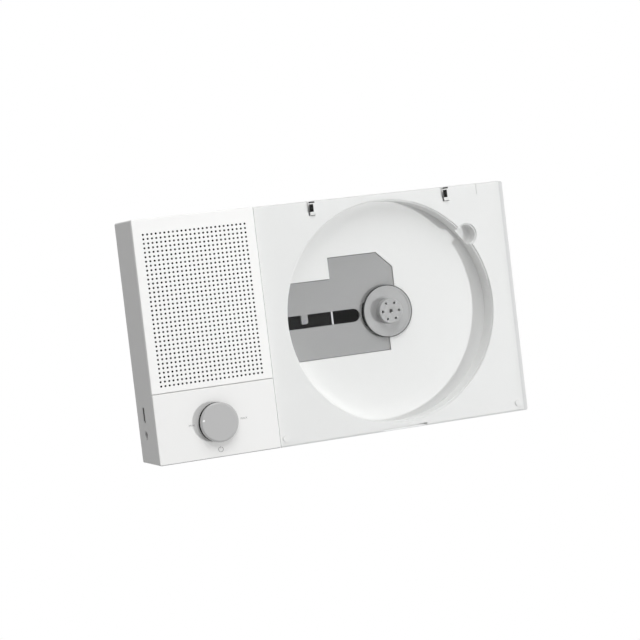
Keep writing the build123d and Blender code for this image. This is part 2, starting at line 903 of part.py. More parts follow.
# profiles of the disc well and of the finger scoop on its rim
with BuildSketch(turning_plane(well_x, 0)) as well_profile:
    with BuildLine():
        corner = (well_radius, deck_top - well_rim_radius)
        foot = Polyline((0, deck_top), (0, floor_top), (well_radius, floor_top), corner)
        lip = RadiusArc(foot @ 1, (well_radius + well_rim_radius, deck_top), -well_rim_radius)
        Line(lip @ 1, foot @ 0)
    make_face()
with BuildSketch(turning_plane(scoop_x, scoop_z)) as scoop_profile:
    with BuildLine():
        base = Line((0, deck_top), (0, scoop_floor))
        flat = Line(base @ 1, (scoop_radius - scoop_bottom_radius, scoop_floor))
        turn = RadiusArc(flat @ 1, (scoop_radius, scoop_floor + scoop_bottom_radius), -scoop_bottom_radius)
        rise = Line(turn @ 1, (scoop_radius, deck_top - well_rim_radius))
        lip = RadiusArc(rise @ 1, (scoop_radius + well_rim_radius, deck_top), -well_rim_radius)
        Line(lip @ 1, base @ 0)
    make_face()

with BuildPart() as disc_deck:
    with BuildSketch(at_height(deck_back)):
        rectangle_span(deck_left, half_width, -half_height, half_height)
    extrude(amount=deck_thickness)
    fillet(disc_deck.edges().filter_by(Axis.Y).group_by(Axis.X)[-1], corner_radius)
    fillet(disc_deck.faces().sort_by(Axis.Y)[0].edges().group_by(Axis.X)[1:], deck_edge_radius)
    revolve(well_profile.sketch, axis=turning_axis(well_x, 0), mode=Mode.SUBTRACT)
    revolve(scoop_profile.sketch, axis=turning_axis(scoop_x, scoop_z), mode=Mode.SUBTRACT)
    # towers of the case screws
    with BuildSketch(at_height(back_inner)):
        with Locations(*right_towers):
            Circle(tower_radius)
    extrude(amount=deck_back - back_inner)
    with BuildSketch(at_height(back_inner)):
        with Locations(*right_towers):
            Circle(case_screw_radius)
    extrude(amount=case_screw_length, mode=Mode.SUBTRACT)
    # land between the hinges, their slots, and the notch for a finger under the lid
    with BuildSketch(at_height(deck_top - land_depth)):
        rectangle_span(
            deck_x - land_width / 2, deck_x + land_width / 2, half_height - land_height, half_height
        )
    extrude(amount=land_depth, mode=Mode.SUBTRACT)
    with BuildSketch(at_height(deck_back)):
        for x in hinge_xs:
            rectangle_span(
                x - hinge_slot_width / 2, x + hinge_slot_width / 2, half_height - hinge_slot_length, half_height
            )
        rectangle_span(*notch_span, -half_height, notch_height - half_height)
    extrude(amount=deck_thickness, mode=Mode.SUBTRACT)
    with BuildSketch(at_height(deck_top - bumper_sink)):
        with Locations(*bumper_places):
            Circle(bumper_radius)
    extrude(amount=bumper_sink, mode=Mode.SUBTRACT)
    with BuildSketch(at_height(deck_back)):
        with Locations(*hinge_screw_places):
            Circle(bracket_screw_radius)
    extrude(amount=deck_thickness - land_depth - part_gap, mode=Mode.SUBTRACT)

# wall and floor of the disc well, bonded under the deck
with BuildPart() as well_pan:
    with BuildSketch(at_height(floor_back)):
        with Locations((well_x, 0)):
            Circle(well_radius + well_wall)
    extrude(amount=deck_back - floor_back)
    with BuildSketch(at_height(scoop_floor - well_wall)):
        with Locations((scoop_x, scoop_z)):
            Circle(scoop_radius + well_wall)
    extrude(amount=deck_back - scoop_floor + well_wall)
    revolve(well_profile.sketch, axis=turning_axis(well_x, 0), mode=Mode.SUBTRACT)
    revolve(scoop_profile.sketch, axis=turning_axis(scoop_x, scoop_z), mode=Mode.SUBTRACT)
    # opening of the floor around the drive
    with BuildSketch(at_height(floor_back)):
        with BuildLine():
            Polyline(*cover_outline, close=True)
        make_face()
        offset(amount=plate_gap, kind=Kind.INTERSECTION, mode=Mode.REPLACE)
    extrude(amount=well_floor, mode=Mode.SUBTRACT)

with BuildPart() as lid_bumpers:
    with BuildSketch(at_height(deck_top - bumper_sink)):
        with Locations(*bumper_places):
            Circle(bumper_radius)
    extrude(amount=bumper_sink + lid_gap - bumper_clearance)

# ---------------------------------------------------------------- clear lid and its hinges
arm_right = hinge_slot_width / 2 - hinge_side_gap
slot_foot = half_height - hinge_slot_length


def side_plane(x):
    """Plane square to the X axis whose sketches use the height and Z, and extrude towards -X."""
    return Plane(origin=(x, 0, 0), x_dir=(0, -1, 0), z_dir=(-1, 0, 0))


with BuildPart() as clear_lid:
    with BuildSketch(at_height(lid_back)):
        rectangle_span(block_right + lid_side_gap, half_width, -half_height, half_height - lid_top_gap)
    extrude(amount=lid_thickness)
    fillet(clear_lid.edges().filter_by(Axis.Y).group_by(Axis.X)[-1], corner_radius)
    fillet(clear_lid.faces().sort_by(Axis.Y)[0].edges(), lid_edge_radius)

with BuildPart() as hinge_arms:
    for x in hinge_xs:
        with BuildSketch(side_plane(x + arm_right)):
            with Locations((hinge_height, hinge_z)):
                Circle(hinge_barrel_radius)
            rectangle_span(hinge_height, lid_back, hinge_z - hinge_barrel_radius, hinge_z + hinge_pin_radius)
            rectangle_span(
                hinge_height - hinge_heel_length,
                hinge_height,
                hinge_z - hinge_heel_height / 2,
                hinge_z + hinge_heel_height / 2,
            )
            with Locations((hinge_height, hinge_z)):
                Circle(hinge_pin_radius + running_gap, mode=Mode.SUBTRACT)
            with Locations((hinge_height - magnet_drop, hinge_z)):
                Circle(magnet_radius, mode=Mode.SUBTRACT)
        extrude(amount=hinge_arm_thickness)
        with BuildSketch(side_plane(x + arm_right)):
            rectangle_span(
                lid_back - hinge_foot_thickness,
                lid_back,
                slot_foot + hinge_side_gap,
                slot_foot + hinge_side_gap + hinge_foot_length,
            )
        extrude(amount=hinge_foot_width)

with BuildPart() as lid_magnets:
    for x in hinge_xs:
        with BuildSketch(side_plane(x + arm_right)):
            with Locations((hinge_height - magnet_drop, hinge_z)):
                Circle(magnet_radius)
        extrude(amount=hinge_arm_thickness)

cheek_x = hinge_slot_width / 2 + cheek_thickness

with BuildPart() as hinge_brackets:
    for x in hinge_xs:
        with BuildSketch(at_height(deck_back - cheek_thickness)):
            rectangle_span(
                x - cheek_x - bracket_flange,
                x + cheek_x + bracket_flange,
                bracket_base_z,
                hinge_z + cheek_radius,
            )
            rectangle_span(
                x - hinge_slot_width / 2,
                x + hinge_slot_width / 2,
                slot_foot - hinge_side_gap,
                half_height,
                mode=Mode.SUBTRACT,
            )
        extrude(amount=cheek_thickness)
        for outer_x in (x + cheek_x, x - hinge_slot_width / 2):
            with BuildSketch(side_plane(outer_x)):
                rectangle_span(hinge_height, deck_back, hinge_z - cheek_radius, hinge_z + cheek_radius)
                with Locations((hinge_height, hinge_z)):
                    Circle(cheek_radius)
                if outer_x > x:
                    rectangle_span(
                        hinge_height - cheek_radius - sensor_height,
                        hinge_height,
                        hinge_z - sensor_width / 2,
                        hinge_z + cheek_radius,
                    )
                with Locations((hinge_height, hinge_z)):
                    Circle(hinge_pin_radius, mode=Mode.SUBTRACT)
            extrude(amount=cheek_thickness)
    with BuildSketch(at_height(deck_back - cheek_thickness)):
        with Locations(*hinge_screw_places):
            Circle(bracket_screw_radius)
    extrude(amount=cheek_thickness, mode=Mode.SUBTRACT)

with BuildPart() as hinge_screws:
    with BuildSketch(at_height(deck_back - cheek_thickness)):
        with Locations(*hinge_screw_places):
            Circle(bracket_screw_radius)
    extrude(amount=cheek_thickness + deck_thickness - land_depth - part_gap)
    with BuildSketch(at_height(deck_back - 2 * cheek_thickness)):
        with Locations(*hinge_screw_places):
            Circle(bracket_screw_head)
    extrude(amount=cheek_thickness)

with BuildPart() as hinge_pins:
    for x in hinge_xs:
        with BuildSketch(side_plane(x + cheek_x)):
            with Locations((hinge_height, hinge_z)):
                Circle(hinge_pin_radius)
        extrude(amount=2 * cheek_x)

spring_radius = hinge_pin_radius + 2 * spring_wire_radius
spring_pitch = 2 * spring_wire_radius + running_gap
spring_left = -hinge_slot_width / 2 + hinge_side_gap

with BuildPart() as hinge_springs:
    for x in hinge_xs:
        with BuildLine():
            coil = Helix(
                pitch=spring_pitch,
                height=spring_turns * spring_pitch,
                radius=spring_radius,
                center=(x + spring_left, -hinge_height, hinge_z),
                direction=(1, 0, 0),
            )
        with BuildSketch(Plane(origin=coil @ 0, z_dir=coil % 0)):
            Circle(spring_wire_radius)
        sweep()

with BuildPart() as lid_sensor:
    with BuildSketch(side_plane(hinge_xs[0] + cheek_x + cheek_thickness)):
        rectangle_span(
            hinge_height - cheek_radius - sensor_height,
            hinge_height - cheek_radius,
            hinge_z - sensor_width / 2,
            hinge_z + cheek_radius,
        )
    extrude(amount=cheek_thickness)
    with BuildSketch(side_plane(hinge_xs[0] + cheek_x + 2 * cheek_thickness)):
        with Locations((hinge_height - magnet_drop, hinge_z)):
            Rectangle(2 * magnet_radius, 2 * magnet_radius)
    extrude(amount=cheek_thickness)

# ---------------------------------------------------------------- disc drive
flange_top = floor_top + flange_top_rise
flange_back = flange_top - flange_thickness
hub_top = flange_top + hub_height
boss_back = flange_back - turntable_boss_length
motor_back = chassis_height - motor_height
wheel_centre = (well_x + pinion_x, rack_pitch_z - gear_module * pinion_teeth / 2)
train_reach = gear_module * (wheel_teeth + motor_teeth) / 2
sled_motor_centre = (
    wheel_centre[0] + train_reach * cos(radians(train_angle)),
    wheel_centre[1] + train_reach * sin(radians(train_angle)),
)
sled_x = well_x + lens_rest
lens_x = sled_x + lens_shift
rod_places = [-rod_spread, rod_spread]
cover_posts = [
    (well_x + x, side * (window_half_height + cover_post_radius + plate_gap))
    for x in (window_left + lug_size, (window_left + window_right) / 2)
    for side in (-1, 1)
]
cover_posts += [
    (well_x + plate_top_right, plate_chamfer_end),
    (well_x - lug_width, plate_bottom + 2 * cover_post_radius),
]
motor_screw_places = [(spindle_x, side * motor_screw_circle) for side in (-1, 1)]
post_places = [
    (
        sled_motor_centre[0] + motor_post_circle * cos(radians(angle)),
        sled_motor_centre[1] + motor_post_circle * sin(radians(angle)),
    )
    for angle in motor_post_angles
]
motor_plate_front = wheel_bottom - part_gap - plate_gap
motor_plate_back = motor_plate_front - motor_plate_thickness

with BuildPart() as mechanism_cover:
    with BuildSketch(at_height(cover_back)) as cover_sketch:
        with BuildLine():
            Polyline(*cover_outline, close=True)
        make_face()
        fillet(cover_sketch.vertices(), plate_thickness)
    extrude(amount=plate_thickness)
    with BuildSketch(at_height(cover_back)):
        rectangle_span(
            well_x + slot_left, well_x + slot_right - slot_half_height, -slot_half_height, slot_half_height
        )
        with Locations((well_x + slot_right - slot_half_height, 0)):
            Circle(slot_half_height)
        with Locations((spindle_x, 0)):
            Circle(motor_window_radius)
    extrude(amount=plate_thickness, mode=Mode.SUBTRACT)
    with BuildSketch(at_height(cover_back)):
        with Locations((spindle_x, 0)):
            Circle(motor_window_reach)
        rectangle_span(
            spindle_x - motor_window_reach, spindle_x, motor_window_low, motor_window_high, mode=Mode.INTERSECT
        )
    extrude(amount=plate_thickness, mode=Mode.SUBTRACT)

with BuildPart() as drive_chassis:
    with BuildSketch(at_height(chassis_height)):
        rectangle_span(well_x + chassis_left, well_x + chassis_right, chassis_bottom, chassis_top)
        rectangle_span(
            well_x + window_left,
            well_x + window_right,
            -window_half_height,
            window_half_height,
            mode=Mode.SUBTRACT,
        )
        with Locations((spindle_x, 0)):
            Circle(motor_boss_radius, mode=Mode.SUBTRACT)
        with Locations(*motor_screw_places):
            Circle(motor_screw_radius, mode=Mode.SUBTRACT)
        with Locations(*damper_places):
            Circle(damper_ear_radius, mode=Mode.SUBTRACT)
        with Locations(wheel_centre):
            Circle(axle_radius, mode=Mode.SUBTRACT)
    extrude(amount=chassis_thickness)
    fillet(drive_chassis.edges().filter_by(Axis.Y).group_by(Axis.X)[0], lug_width)
    fillet(drive_chassis.edges().filter_by(Axis.Y).group_by(Axis.X)[-1], lug_width)
    with BuildSketch(at_height(chassis_front)):
        with Locations(*cover_posts):
            Circle(cover_post_radius)
    extrude(amount=cover_back - chassis_front)
    with BuildSketch(at_height(motor_plate_front)):
        with Locations(*post_places):
            Circle(motor_post_radius)
    extrude(amount=chassis_height - motor_plate_front)
    # lugs of the guide rods
    with BuildSketch(at_height(rod_height - lug_size / 2)):
        for z in rod_places:
            rectangle_span(
                well_x + chassis_left, well_x + chassis_left + lug_width, z - lug_size / 2, z + lug_size / 2
            )
            rectangle_span(
                well_x + rod_right - lug_width, well_x + rod_right, z - lug_size / 2, z + lug_size / 2
            )
    extrude(amount=chassis_height - rod_height + lug_size / 2)
    with BuildSketch(Plane.YZ.offset(well_x + rod_left)):
        for z in rod_places:
            with Locations((-rod_height, z)):
                Circle(rod_radius)
    extrude(amount=rod_right - rod_left, mode=Mode.SUBTRACT)

with BuildPart() as guide_rods:
    with BuildSketch(Plane.YZ.offset(well_x + rod_left)):
        for z in rod_places:
            with Locations((-rod_height, z)):
                Circle(rod_radius)
    extrude(amount=rod_right - rod_left)

with BuildPart() as spindle_motor:
    with BuildSketch(turning_plane(spindle_x, 0)):
        rectangle_span(0, motor_radius, motor_back, chassis_height)
        rectangle_span(0, motor_boss_radius, chassis_height, chassis_front + motor_boss_height - part_gap)
        rectangle_span(
            0, spindle_radius + running_gap, motor_back + motor_boss_height, deck_top, mode=Mode.SUBTRACT
        )
    revolve(axis=turning_axis(spindle_x, 0))
    fillet(spindle_motor.faces().sort_by(Axis.Y)[-1].edges(), plate_thickness)
    with BuildSketch(at_height(chassis_height - motor_boss_height)):
        with Locations(*motor_screw_places):
            Circle(motor_screw_radius)
    extrude(amount=motor_boss_height, mode=Mode.SUBTRACT)

with BuildPart() as motor_screws:
    with BuildSketch(at_height(chassis_height - motor_boss_height)):
        with Locations(*motor_screw_places):
            Circle(motor_screw_radius)
    extrude(amount=motor_boss_height + chassis_thickness)
    with BuildSketch(at_height(chassis_front)):
        with Locations(*motor_screw_places):
            Circle(2 * motor_screw_radius)
    extrude(amount=plate_sink)

with BuildPart() as spindle_shaft:
    with BuildSketch(at_height(motor_back + motor_boss_height + plate_gap)):
        with Locations((spindle_x, 0)):
            Circle(spindle_radius)
    extrude(amount=hub_top - spindle_recess - motor_back - motor_boss_height - plate_gap)

with BuildPart() as turntable:
    with BuildSketch(turning_plane(spindle_x, 0)):
        rectangle_span(0, flange_radius, flange_back, flange_top)
        rectangle_span(
            flange_radius - flange_lip_width, flange_radius, flange_top, flange_top + flange_lip_height
        )
        rectangle_span(0, turntable_boss_radius, boss_back, flange_back)
    revolve(axis=turning_axis(spindle_x, 0))
    with BuildSketch(turning_plane(spindle_x, 0)):
        with BuildLine():
            Polyline(
                (0, flange_top),
                (hub_radius, flange_top),
                (hub_radius, hub_top - hub_chamfer),
                (hub_radius - hub_chamfer, hub_top),
                (0, hub_top),
                close=True,
            )
        make_face()
    revolve(axis=turning_axis(spindle_x, 0))
    with BuildSketch(at_height(boss_back)):
        with Locations((spindle_x, 0)):
            Circle(spindle_radius)
    extrude(amount=hub_top - boss_back, mode=Mode.SUBTRACT)
    with BuildSketch(at_height(hub_top - spindle_recess)):
        with Locations((spindle_x, 0)):
            Circle(spindle_mouth_radius)
    extrude(amount=spindle_recess, mode=Mode.SUBTRACT)
    with BuildSketch(at_height(hub_top - hub_hole_depth)):
        with Locations((spindle_x, 0)):
            with PolarLocations(hub_hole_circle, hub_hole_count):
                Circle(hub_hole_radius)
    extrude(amount=hub_hole_depth, mode=Mode.SUBTRACT)

# soft ring that the disc rests on, around the flange
with BuildPart() as flange_ring:
    with BuildSketch(at_height(flange_back)):
        with Locations((spindle_x, 0)):
            Circle(flange_radius + flange_ring_width)
            Circle(flange_radius, mode=Mode.SUBTRACT)
    extrude(amount=flange_thickness + flange_lip_height)

# ---------------------------------------------------------------- pickup sled
tongue_back = sled_top - tongue_thickness

with BuildPart() as pickup_sled:
    with BuildSketch(at_height(sled_bottom)):
        rectangle_span(
            sled_x - sled_half_length, sled_x + sled_half_length, -sled_half_width, sled_half_width
        )
    extrude(amount=sled_top - sled_bottom)
    fillet(pickup_sled.edges().filter_by(Axis.Y), corner_radius)
    with BuildSketch(at_height(tongue_back)):
        rectangle_span(sled_x, sled_x + tongue_reach - shield_thickness, -tongue_half_width, tongue_half_width)
    extrude(amount=tongue_thickness)
    with BuildSketch(Plane.YZ.offset(sled_x - sled_half_length)):
        for z in rod_places:
            with Locations((-rod_height, z)):
                Circle(rod_radius + running_gap)
    extrude(amount=2 * sled_half_length, mode=Mode.SUBTRACT)

with BuildPart() as tongue_shield:
    with BuildSketch(at_height(tongue_back)):
        rectangle_span(
            sled_x + tongue_reach - shield_thickness,
            sled_x + tongue_reach,
            -tongue_half_width,
            tongue_half_width,
        )
    extrude(amount=tongue_thickness + shield_rise)

with BuildPart() as lens_holder:
    with BuildSketch(at_height(sled_top)):
        with Locations((lens_x, lens_block_shift)):
            RectangleRounded(lens_block_length, lens_block_width, corner_radius)
        with Locations((lens_x, 0)):
            Circle(lens_radius, mode=Mode.SUBTRACT)
    extrude(amount=lens_block_height)

with BuildPart() as pickup_lens:
    with BuildSketch(turning_plane(lens_x, 0)):
        with BuildLine():
            stem = Polyline(
                (0, sled_top + lens_block_height + lens_rise), (0, sled_top), (lens_radius, sled_top)
            )
            rise = Line(stem @ 1, (lens_radius, sled_top + lens_block_height))
            ThreePointArc(*reversed(dome_points(lens_radius, lens_rise, sled_top + lens_block_height)))
        make_face()
    revolve(axis=turning_axis(lens_x, 0))

# ---------------------------------------------------------------- gear train of the sled
tooth_rise = tooth_rise_share * gear_module
tooth_root = tooth_root_share * gear_module
tooth_pitch = pi * gear_module
pressure = radians(pressure_angle)


def gear_points(teeth, turn, centre):
    """Outline of an involute gear about a centre, with the middle of one tooth at the turn angle."""
    pitch_radius = gear_module * teeth / 2
    base_radius = pitch_radius * cos(pressure)
    half_tooth = (tooth_pitch / 2 - gear_slack) / (2 * pitch_radius)
    low = max(base_radius, pitch_radius - tooth_root)
    steps = [low + (pitch_radius + tooth_rise - low) * step / 4 for step in range(5)]
    flank = [(pitch_radius - tooth_root, half_tooth + tan(pressure) - pressure)]
    for radius in steps:
        spread = acos(min(1.0, base_radius / radius))
        flank.append((radius, half_tooth + tan(pressure) - pressure - tan(spread) + spread))
    points = []
    for tooth in range(teeth):
        middle = turn + 2 * pi * tooth / teeth
        sides = [(radius, middle - half) for radius, half in flank]
        sides += [(radius, middle + half) for radius, half in reversed(flank)]
        points += [
            (centre[0] + radius * cos(angle), centre[1] + radius * sin(angle)) for radius, angle in sides
        ]
    return points


with BuildPart() as sled_rack:
    with BuildSketch(at_height(pinion_bottom)):
        rectangle_span(sled_x + rack_left, sled_x + rack_right, rack_pitch_z + tooth_root, -sled_half_width)
        rack_phase = wheel_centre[0] - sled_x
        tooth_count = int((rack_right - rack_left) / tooth_pitch)
        first = int((rack_left - rack_phase) / tooth_pitch)
        for tooth in range(first + 1, first + tooth_count):
            middle = sled_x + rack_phase + (tooth + 0.5) * tooth_pitch
            half_root = tooth_pitch / 4 - gear_slack / 2 + tooth_root * tan(pressure)
            half_tip = tooth_pitch / 4 - gear_slack / 2 - tooth_rise * tan(pressure)
            with BuildLine():
                Polyline(
                    (middle - half_root, rack_pitch_z + tooth_root),
                    (middle - half_tip, rack_pitch_z - tooth_rise),
                    (middle + half_tip, rack_pitch_z - tooth_rise),
                    (middle + half_root, rack_pitch_z + tooth_root),
                    close=True,
                )
            make_face()
    extrude(amount=pinion_width)

with BuildPart() as idler_gear:
    with BuildSketch(at_height(pinion_bottom)):
        with BuildLine():
            Polyline(*gear_points(pinion_teeth, pi / 2, wheel_centre), close=True)
        make_face()
    extrude(amount=wheel_bottom - pinion_bottom)
    with BuildSketch(at_height(wheel_bottom)):
        with BuildLine():
            Polyline(*gear_points(wheel_teeth, radians(train_angle), wheel_centre), close=True)
        make_face()
    extrude(amount=wheel_width)
    with BuildSketch(at_height(pinion_bottom)):
        with Locations(wheel_centre):
            Circle(axle_radius + running_gap)
    extrude(amount=chassis_height, mode=Mode.SUBTRACT)

with BuildPart() as idler_axle:
    with BuildSketch(at_height(pinion_bottom - 3 * plate_gap)):
        with Locations(wheel_centre):
            Circle(axle_radius)
    extrude(amount=chassis_front - pinion_bottom + 3 * plate_gap)

with BuildPart() as idler_clip:
    with BuildSketch(at_height(pinion_bottom - 3 * plate_gap)):
        with Locations(wheel_centre):
            Circle(2 * axle_radius)
            Circle(axle_radius, mode=Mode.SUBTRACT)
    extrude(amount=2 * plate_gap)

with BuildPart() as motor_bracket:
    with BuildSketch(at_height(motor_plate_back)):
        with Locations(sled_motor_centre):
            Circle(motor_post_circle + motor_post_radius)
            Circle(axle_radius + plate_gap, mode=Mode.SUBTRACT)
        with Locations(wheel_centre):
            Circle(gear_module * pinion_teeth / 2 + tooth_rise + plate_gap, mode=Mode.SUBTRACT)
    extrude(amount=motor_plate_thickness)

with BuildPart() as sled_motor:
    with BuildSketch(at_height(motor_plate_back - sled_motor_height)):
        with Locations(sled_motor_centre):
            Circle(sled_motor_radius)
    extrude(amount=sled_motor_height)
    with BuildSketch(at_height(motor_plate_back - sled_motor_height + motor_boss_height)):
        with Locations(sled_motor_centre):
            Circle(axle_radius + running_gap)
    extrude(amount=sled_motor_height, mode=Mode.SUBTRACT)

with BuildPart() as motor_pinion:
    with BuildSketch(at_height(wheel_bottom)):
        with BuildLine():
            back_turn = radians(train_angle) + pi + pi / motor_teeth
            Polyline(*gear_points(motor_teeth, back_turn, sled_motor_centre), close=True)
        make_face()
    extrude(amount=wheel_width)
    with BuildSketch(at_height(motor_plate_back - sled_motor_height + motor_boss_height + plate_gap)):
        with Locations(sled_motor_centre):
            Circle(axle_radius)
    extrude(amount=wheel_bottom - motor_plate_back + sled_motor_height - motor_boss_height - plate_gap)

# ---------------------------------------------------------------- dampers of the drive
with BuildPart() as chassis_dampers:
    with BuildSketch(at_height(damper_seat)):
        with Locations(*damper_places):
            Circle(damper_flange_radius)
    extrude(amount=damper_flange_height)
    with BuildSketch(at_height(chassis_height)):
        with Locations(*damper_places):
            Circle(damper_ear_radius)
    extrude(amount=chassis_thickness)
    with BuildSketch(at_height(chassis_front)):
        with Locations(*damper_places):
            Circle(damper_flange_radius)
    extrude(amount=damper_flange_height)
    with BuildSketch(at_height(damper_seat)):
        with Locations(*damper_places):
            Circle(damper_bore_radius)
    extrude(amount=damper_top - damper_seat, mode=Mode.SUBTRACT)

with BuildPart() as damper_screws:
    with BuildSketch(at_height(damper_top - damper_screw_length)):
        with Locations(*damper_places):
            Circle(damper_screw_radius)
    extrude(amount=damper_screw_length)
    with BuildSketch(at_height(damper_top)):
        with Locations(*damper_places):
            Circle(damper_screw_head)
    extrude(amount=damper_screw_head_height)

# ---------------------------------------------------------------- export
pieces = {
    "rear_shell": rear_shell,
    "wall_bracket": wall_bracket,
    "bracket_hooks": bracket_hooks,
    "wall_pads": wall_pads,
    "case_screws": case_screws,
    "speaker_grille": speaker_grille,
    "control_panel": control_panel,
    "front_baffle": front_baffle,
    "speaker_frame": speaker_frame,
    "speaker_magnet": speaker_magnet,
    "speaker_surround": speaker_surround,
    "speaker_cone": speaker_cone,
    "dust_cap": dust_cap,
    "voice_coil": voice_coil,
    "speaker_screws": speaker_screws,
    "volume_knob": volume_knob,
    "knob_skirt": knob_skirt,
    "knob_pointer": knob_pointer,
    "knob_shaft": knob_shaft,
    "encoder_body": encoder_body,
    "switch_plunger": switch_plunger,
    "encoder_nut": encoder_nut,
    "panel_marks": panel_marks,
    "usb_socket": usb_socket,
    "jack_socket": jack_socket,
    "main_board": main_board,
    "board_chips": board_chips,
    "battery_pack": battery_pack,
    "disc_deck": disc_deck,
    "well_pan": well_pan,
    "lid_bumpers": lid_bumpers,
    "clear_lid": clear_lid,
    "hinge_arms": hinge_arms,
    "lid_magnets": lid_magnets,
    "hinge_brackets": hinge_brackets,
    "hinge_screws": hinge_screws,
    "hinge_pins": hinge_pins,
    "hinge_springs": hinge_springs,
    "lid_sensor": lid_sensor,
    "mechanism_cover": mechanism_cover,
    "drive_chassis": drive_chassis,
    "guide_rods": guide_rods,
    "spindle_motor": spindle_motor,
    "motor_screws": motor_screws,
    "spindle_shaft": spindle_shaft,
    "turntable": turntable,
    "flange_ring": flange_ring,
    "pickup_sled": pickup_sled,
    "tongue_shield": tongue_shield,
    "lens_holder": lens_holder,
    "pickup_lens": pickup_lens,
    "sled_rack": sled_rack,
    "idler_gear": idler_gear,
    "idler_axle": idler_axle,
    "idler_clip": idler_clip,
    "motor_bracket": motor_bracket,
    "sled_motor": sled_motor,
    "motor_pinion": motor_pinion,
    "chassis_dampers": chassis_dampers,
    "damper_screws": damper_screws,
}
for name, piece in pieces.items():
    piece.part.label = name
    export_step(piece.part, f"parts/{name}.step")
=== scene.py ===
import math
import bmesh
import bpy
from mathutils import Matrix, Vector


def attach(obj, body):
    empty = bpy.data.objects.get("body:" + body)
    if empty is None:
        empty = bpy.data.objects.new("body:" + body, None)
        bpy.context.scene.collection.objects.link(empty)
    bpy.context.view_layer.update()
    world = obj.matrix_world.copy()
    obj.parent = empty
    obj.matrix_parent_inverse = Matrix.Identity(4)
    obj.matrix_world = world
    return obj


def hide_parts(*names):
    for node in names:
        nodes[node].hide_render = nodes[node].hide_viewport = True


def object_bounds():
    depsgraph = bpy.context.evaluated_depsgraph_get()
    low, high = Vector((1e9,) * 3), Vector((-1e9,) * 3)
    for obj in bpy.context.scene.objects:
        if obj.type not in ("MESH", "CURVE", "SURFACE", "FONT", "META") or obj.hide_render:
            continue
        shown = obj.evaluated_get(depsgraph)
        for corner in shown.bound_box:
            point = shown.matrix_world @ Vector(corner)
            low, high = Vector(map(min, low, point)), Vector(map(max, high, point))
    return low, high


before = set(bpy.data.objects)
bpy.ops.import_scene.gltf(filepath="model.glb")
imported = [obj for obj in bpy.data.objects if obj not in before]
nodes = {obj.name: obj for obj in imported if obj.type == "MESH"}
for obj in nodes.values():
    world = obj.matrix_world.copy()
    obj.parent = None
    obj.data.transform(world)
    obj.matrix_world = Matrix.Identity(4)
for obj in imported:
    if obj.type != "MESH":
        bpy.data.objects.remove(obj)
cadBox = [list(corner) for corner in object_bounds()]
scene = bpy.context.scene
mm = 0.001
print("player: CAD frame loaded,", len(nodes), "nodes")


def toLinear(hexColour):  # sRGB hex to the linear RGBA that the shaders take
    parts = [int(hexColour[i:i + 2], 16) / 255 for i in (1, 3, 5)]
    return tuple(c / 12.92 if c <= 0.04045 else ((c + 0.055) / 1.055) ** 2.4 for c in parts) + (1.0,)


def addNode(tree, kind, settings=None, inputs=None):  # one node with its settings, values and links
    node = tree.nodes.new(kind)
    for key, value in (settings or {}).items():
        setattr(node, key, value)
    for key, value in (inputs or {}).items():
        if isinstance(value, bpy.types.NodeSocket):
            tree.links.new(value, node.inputs[key])
        else:
            node.inputs[key].default_value = value
    return node


def perMetre(sizeMm):  # texture scale that gives a pattern of this size in millimetres
    return 1000 / sizeMm


def newMaterial(name):
    material = bpy.data.materials.new(name)
    material.use_nodes = True
    material.node_tree.nodes.clear()
    return material, material.node_tree


# camera, light and floor, in millimetres and watts
backdropRays = ("Is Camera Ray", "Is Glossy Ray", "Is Transmission Ray")
studio = {
    "cameraPlace": (-401.76, -1070.65, 38.76),
    "cameraForward": (0.35384, 0.93466, -0.0347),
    "cameraUp": (0.12185, -0.00929, 0.9925),
    "lensMm": 108.28,
    "sensorMm": 36,
    "clip": (50, 50000),
    "keyPlace": (2250, -2900, -540),
    "keySize": 80,
    "keyWatt": 50.6,
    "fillPlace": (-100, -900, 1200),
    "fillSize": 1500,
    "fillWatt": 14.2,
    "roomLight": 0.224,
    "floorDrop": 1000,
    "floorReach": 12000,
    "floorColour": "#F4F4F4",
    "floorRoughness": 0.9,
}


def makeCamera(look):
    camera = bpy.data.cameras.new("studioCamera")
    camera.lens = look["lensMm"]
    camera.sensor_width = look["sensorMm"]
    camera.clip_start, camera.clip_end = (value * mm for value in look["clip"])
    holder = bpy.data.objects.new("studioCamera", camera)
    scene.collection.objects.link(holder)
    forward = Vector(look["cameraForward"]).normalized()
    up = Vector(look["cameraUp"])
    right = forward.cross(up).normalized()
    up = right.cross(forward)
    turn = Matrix((right, up, -forward)).transposed().to_4x4()
    holder.matrix_world = Matrix.Translation(Vector(look["cameraPlace"]) * mm) @ turn
    scene.camera = holder


def makeLamp(name, place, size, watt):  # a round soft lamp that faces the middle of the object
    light = bpy.data.lights.new(name, "AREA")
    light.shape = "DISK"
    light.size = size * mm
    light.energy = watt
    holder = bpy.data.objects.new(name, light)
    scene.collection.objects.link(holder)
    holder.location = Vector(place) * mm
    holder.rotation_mode = "QUATERNION"
    holder.rotation_quaternion = (-holder.location).to_track_quat("-Z", "Y")


def eitherRay(tree, kinds):  # 1 for a ray of any of these kinds, otherwise 0
    path = addNode(tree, "ShaderNodeLightPath")
    result = path.outputs[kinds[0]]
    for kind in kinds[1:]:
        either = addNode(tree, "ShaderNodeMath", {"operation": "MAXIMUM"}, {0: result, 1: path.outputs[kind]})
        result = either.outputs[0]
    return result


